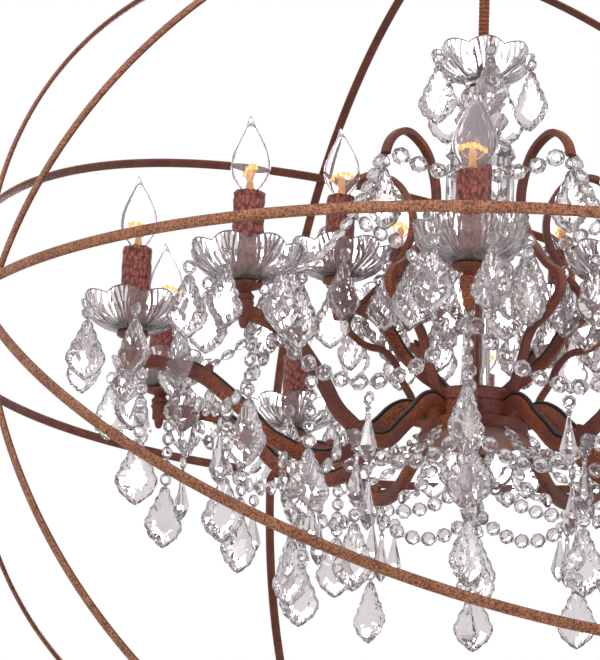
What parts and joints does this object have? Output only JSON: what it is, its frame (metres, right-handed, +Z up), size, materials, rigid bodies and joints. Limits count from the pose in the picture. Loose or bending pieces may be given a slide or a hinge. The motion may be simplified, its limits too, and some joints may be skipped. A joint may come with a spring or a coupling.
{
  "type": "orb chandelier",
  "caption": "Hanging orb chandelier: iron hoops that tilt on one axis round a crystal candle-arm chandelier with glass dishes, drops and bead swags, on a short chain.",
  "frame": {"origin": "middle of the crossbar's face against the ceiling, midway between its two screw holes", "axes": "+Z up to the ceiling, +X along the axis that the loose hoops turn on, +Y across it in the plane of the fixed cross hoop"},
  "size_m": [0.921, 0.921, 1.1102],
  "materials": {
    "rust_iron": "dark red-brown rust with copper specks",
    "hoop_copper": "copper rust speckled with black",
    "cut_crystal": "clear cut crystal",
    "candle_sleeve": "rough mauve-red rust",
    "bulb_glass": "clear thin glass",
    "cap_brass": "brushed",
    "holder_plastic": "matt black",
    "wire_black": "black sleeve over the lamp wires",
    "zinc_steel": "zinc plated"
  },
  "bodies": {
    "ceiling_fitting": {"crossbar": "zinc_steel", "canopy": "rust_iron", "threaded_nipple": "zinc_steel", "collar": "rust_iron", "canopy_loop": "rust_iron"},
    "upper_link": {"chain_link_upper": "rust_iron"},
    "middle_link": {"chain_link_middle": "rust_iron"},
    "lower_link": {"chain_link_lower": "rust_iron"},
    "outer_hoop": {"hoop_outer": "hoop_copper"},
    "middle_hoop": {"hoop_middle": "hoop_copper"},
    "inner_hoop": {"hoop_inner": "hoop_copper"},
    "chandelier": {"arm_drops": "cut_crystal", "arm_wires_inner": "wire_black", "arm_wires_outer": "wire_black", "arms_inner": "rust_iron", "arms_outer": "rust_iron", "bulb_caps_inner": "cap_brass", "bulb_caps_outer": "cap_brass", "bulbs_inner": "bulb_glass", "bulbs_outer": "bulb_glass", "candle_sleeves_inner": "candle_sleeve", "candle_sleeves_outer": "candle_sleeve", "column_washers": "rust_iron", "cross_hoop_screws": "hoop_copper", "cups_inner": "rust_iron", "cups_outer": "rust_iron", "dish_stones_inner": "cut_crystal", "dish_stones_outer": "cut_crystal", "dishes_inner": "cut_crystal", "dishes_outer": "cut_crystal", "drum": "rust_iron", "drum_cover": "rust_iron", "finial": "rust_iron", "finial_ball": "cut_crystal", "glass_cylinder": "cut_crystal", "glass_lower_column": "cut_crystal", "glass_neck": "cut_crystal", "glass_top_dish": "cut_crystal", "glass_vase": "cut_crystal", "hoop_cross": "hoop_copper", "hoop_level": "hoop_copper", "hub": "rust_iron", "hub_loop": "rust_iron", "hub_nut": "rust_iron", "lamp_holders_inner": "holder_plastic", "lamp_holders_outer": "holder_plastic", "pivot_bolts": "hoop_copper", "pivot_nuts": "hoop_copper", "pivot_washers": "hoop_copper", "stem": "rust_iron", "strap_stones": "cut_crystal", "strap_swags": "cut_crystal", "straps": "rust_iron", "top_dish_stones": "cut_crystal", "under_swags": "cut_crystal"}
  },
  "joints": [
    {"name": "upper_link_swing", "type": "hinge", "parent": "ceiling_fitting", "child": "upper_link", "pos_m": [0, 0, -0.06085], "axis": [1, 0, 0], "range_deg": [-20, 20]},
    {"name": "middle_link_swing", "type": "hinge", "parent": "upper_link", "child": "middle_link", "pos_m": [0, 0, -0.09355], "axis": [0, 1, 0], "range_deg": [-20, 20]},
    {"name": "lower_link_swing", "type": "hinge", "parent": "middle_link", "child": "lower_link", "pos_m": [0, 0, -0.12625], "axis": [1, 0, 0], "range_deg": [-20, 20]},
    {"name": "chandelier_swing", "type": "hinge", "parent": "lower_link", "child": "chandelier", "pos_m": [0, 0, -0.15895], "axis": [0, 1, 0], "range_deg": [-20, 20]},
    {"name": "outer_hoop_tilt", "type": "hinge", "parent": "chandelier", "child": "outer_hoop", "pos_m": [0, 0, -0.65775], "axis": [1, 0, 0], "range_deg": [-39, 45]},
    {"name": "middle_hoop_tilt", "type": "hinge", "parent": "chandelier", "child": "middle_hoop", "pos_m": [0, 0, -0.65775], "axis": [1, 0, 0], "range_deg": [-75.5, 8]},
    {"name": "inner_hoop_tilt", "type": "hinge", "parent": "chandelier", "child": "inner_hoop", "pos_m": [0, 0, -0.65775], "axis": [1, 0, 0], "range_deg": [-34, 50]}
  ]
}
